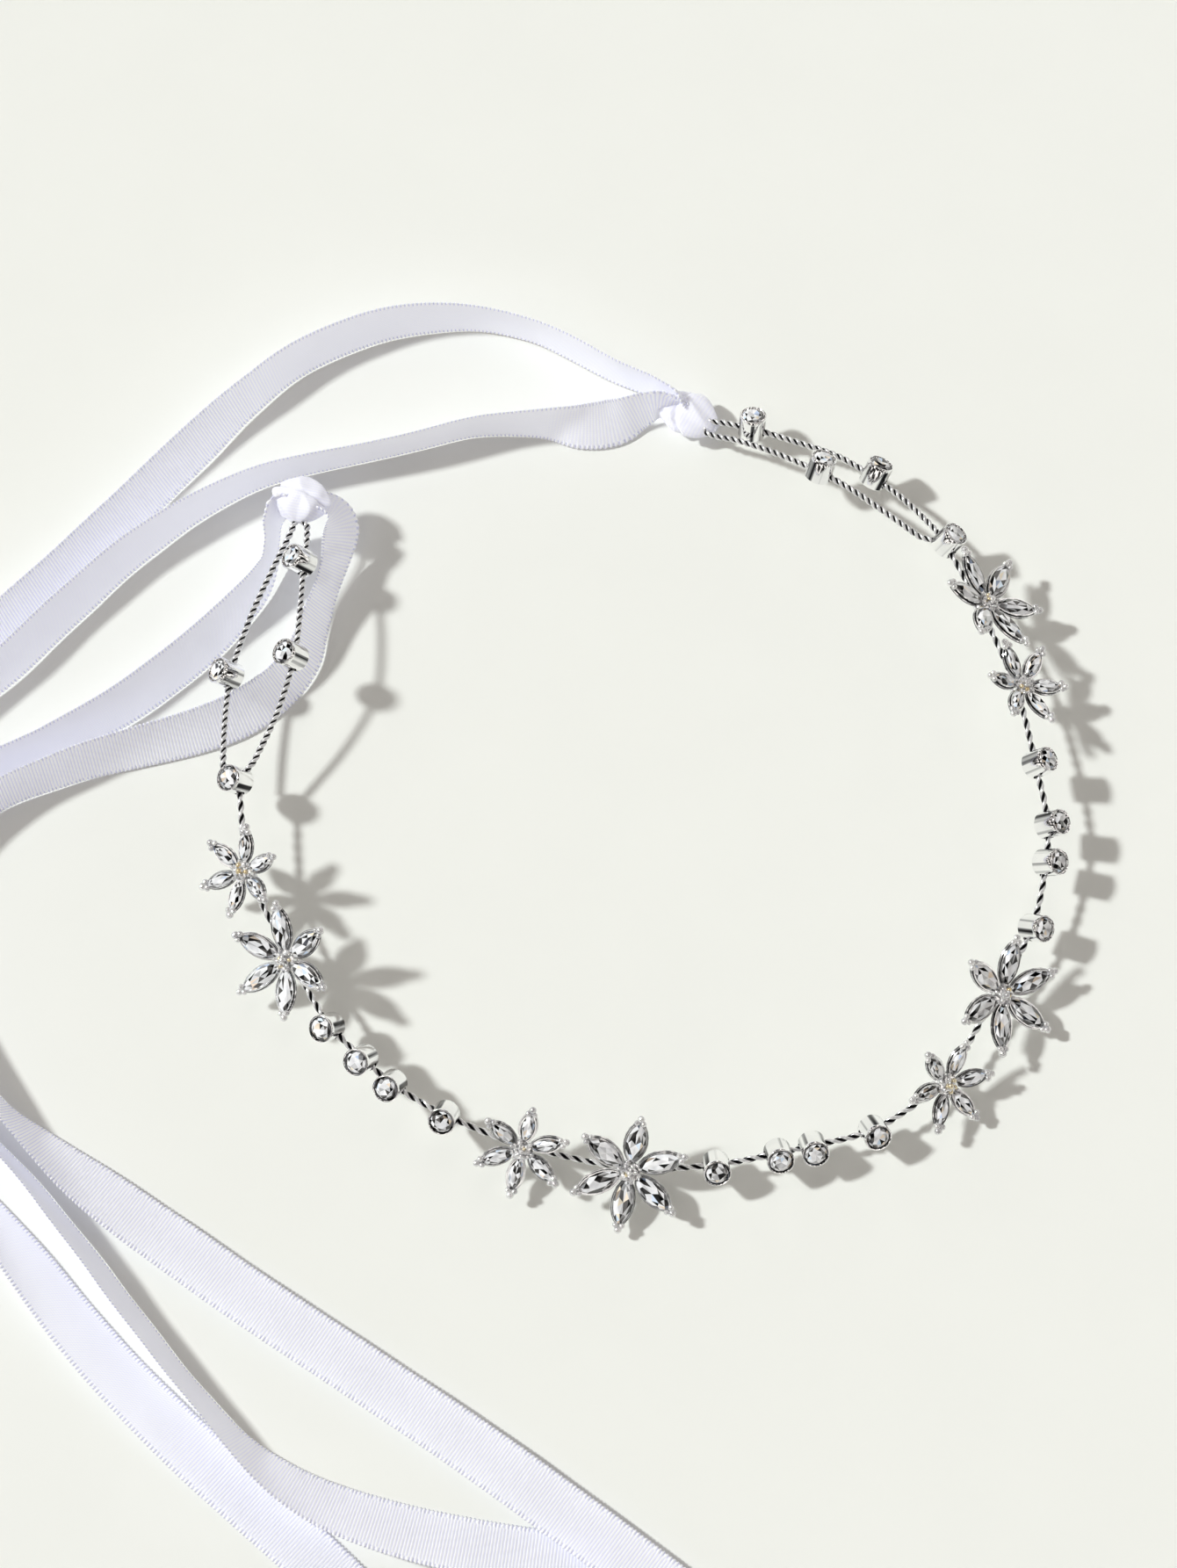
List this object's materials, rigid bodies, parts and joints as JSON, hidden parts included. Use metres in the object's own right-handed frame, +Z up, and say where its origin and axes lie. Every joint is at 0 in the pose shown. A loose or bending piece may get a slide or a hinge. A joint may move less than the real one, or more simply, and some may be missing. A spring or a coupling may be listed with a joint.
{
  "type": "bridal headband",
  "caption": "Open ring of twisted silver wire with crystal flowers and round stones in tubular cups, and an eye at each end for a satin ribbon tie.",
  "frame": {"origin": "centre of the crown without its ribbon tails, on the surface it lies on", "axes": "+Z up, away from the surface; -Y towards the front of the crown, +Y towards the gap at the back; +X to the right seen from outside the front"},
  "size_m": [0.275, 0.2623, 0.0202],
  "materials": {
    "twisted_wire": "two bright silver-plated strands twisted together",
    "silver_cup": "polished silver-plated tube",
    "silver_flower": "polished silver-plated casting set with clear faceted stones",
    "crystal": "clear faceted stone, foil-backed",
    "satin": "white double-faced satin ribbon with picot edges"
  },
  "bodies": {
    "front_band": {"band_wire_front": "twisted_wire", "cup_left_front_1": "silver_cup", "stone_left_front_1": "crystal", "cup_left_front_2": "silver_cup", "stone_left_front_2": "crystal", "cup_right_front_1": "silver_cup", "stone_right_front_1": "crystal", "cup_right_front_2": "silver_cup", "stone_right_front_2": "crystal", "ribbon_tail_left_inner": "satin", "ribbon_tail_left_outer": "satin", "ribbon_tail_right_inner": "satin", "ribbon_tail_right_outer": "satin"},
    "left_arm": {"band_wire_left": "twisted_wire", "loop_wire_left": "twisted_wire", "ribbon_knot_left": "satin", "cup_left_side_1": "silver_cup", "stone_left_side_1": "crystal", "cup_left_side_2": "silver_cup", "stone_left_side_2": "crystal", "cup_left_side_3": "silver_cup", "stone_left_side_3": "crystal", "cup_left_side_4": "silver_cup", "stone_left_side_4": "crystal", "cup_left_junction": "silver_cup", "stone_left_junction": "crystal", "cup_left_loop_outer": "silver_cup", "stone_left_loop_outer": "crystal", "cup_left_loop_inner": "silver_cup", "stone_left_loop_inner": "crystal", "cup_left_loop_tip": "silver_cup", "stone_left_loop_tip": "crystal"},
    "right_arm": {"band_wire_right": "twisted_wire", "loop_wire_right": "twisted_wire", "ribbon_knot_right": "satin", "cup_right_side_1": "silver_cup", "stone_right_side_1": "crystal", "cup_right_side_2": "silver_cup", "stone_right_side_2": "crystal", "cup_right_side_3": "silver_cup", "stone_right_side_3": "crystal", "cup_right_side_4": "silver_cup", "stone_right_side_4": "crystal", "cup_right_junction": "silver_cup", "stone_right_junction": "crystal", "cup_right_loop_outer": "silver_cup", "stone_right_loop_outer": "crystal", "cup_right_loop_inner": "silver_cup", "stone_right_loop_inner": "crystal", "cup_right_loop_tip": "silver_cup", "stone_right_loop_tip": "crystal"},
    "flower_left_1": {"flower_left_1": "silver_flower"},
    "flower_left_2": {"flower_left_2": "silver_flower"},
    "flower_left_3": {"flower_left_3": "silver_flower"},
    "flower_left_4": {"flower_left_4": "silver_flower"},
    "flower_right_1": {"flower_right_1": "silver_flower"},
    "flower_right_2": {"flower_right_2": "silver_flower"},
    "flower_right_3": {"flower_right_3": "silver_flower"},
    "flower_right_4": {"flower_right_4": "silver_flower"}
  },
  "joints": [
    {"name": "left_arm_flex", "type": "hinge", "parent": "front_band", "child": "left_arm", "pos_m": [-0.04568, -0.05573, 0.0055], "axis": [0, 0, 1], "range_deg": [-6, 8], "stiffness_Nm_per_rad": 0.05, "deforming": ["ribbon_tail_left_inner", "ribbon_tail_left_outer"]},
    {"name": "right_arm_flex", "type": "hinge", "parent": "front_band", "child": "right_arm", "pos_m": [0.0481, -0.06067, 0.0061], "axis": [0, 0, -1], "range_deg": [-6, 8], "stiffness_Nm_per_rad": 0.05, "deforming": ["ribbon_tail_right_inner", "ribbon_tail_right_outer"]},
    {"name": "flower_left_1_tilt", "type": "hinge", "parent": "front_band", "child": "flower_left_1", "pos_m": [-0.02855, -0.06668, 0.0046], "axis": [0.9024, -0.4308, 0.0023], "range_deg": [-12, 12]},
    {"name": "flower_left_2_tilt", "type": "hinge", "parent": "front_band", "child": "flower_left_2", "pos_m": [-0.04568, -0.05573, 0.0055], "axis": [0.7893, -0.6064, -0.0966], "range_deg": [-12, 12]},
    {"name": "flower_left_3_tilt", "type": "hinge", "parent": "left_arm", "child": "flower_left_3", "pos_m": [-0.07383, -0.00702, 0.0082], "axis": [0.134, -0.9905, -0.031], "range_deg": [-12, 12]},
    {"name": "flower_left_4_tilt", "type": "hinge", "parent": "left_arm", "child": "flower_left_4", "pos_m": [-0.0755, 0.0116, 0.0096], "axis": [-0.0829, -0.9951, -0.0538], "range_deg": [-12, 12]},
    {"name": "flower_right_1_tilt", "type": "hinge", "parent": "front_band", "child": "flower_right_1", "pos_m": [0.03194, -0.07262, 0.0055], "axis": [0.9061, 0.4228, 0.0169], "range_deg": [-12, 12]},
    {"name": "flower_right_2_tilt", "type": "hinge", "parent": "front_band", "child": "flower_right_2", "pos_m": [0.0481, -0.06067, 0.0061], "axis": [0.7763, 0.6285, 0.0476], "range_deg": [-12, 12]},
    {"name": "flower_right_3_tilt", "type": "hinge", "parent": "right_arm", "child": "flower_right_3", "pos_m": [0.0743, -0.00715, 0.0096], "axis": [0.0912, 0.9958, 0.0004], "range_deg": [-12, 12]},
    {"name": "flower_right_4_tilt", "type": "hinge", "parent": "right_arm", "child": "flower_right_4", "pos_m": [0.07422, 0.01046, 0.0096], "axis": [-0.0551, 0.998, -0.0319], "range_deg": [-12, 12]}
  ]
}
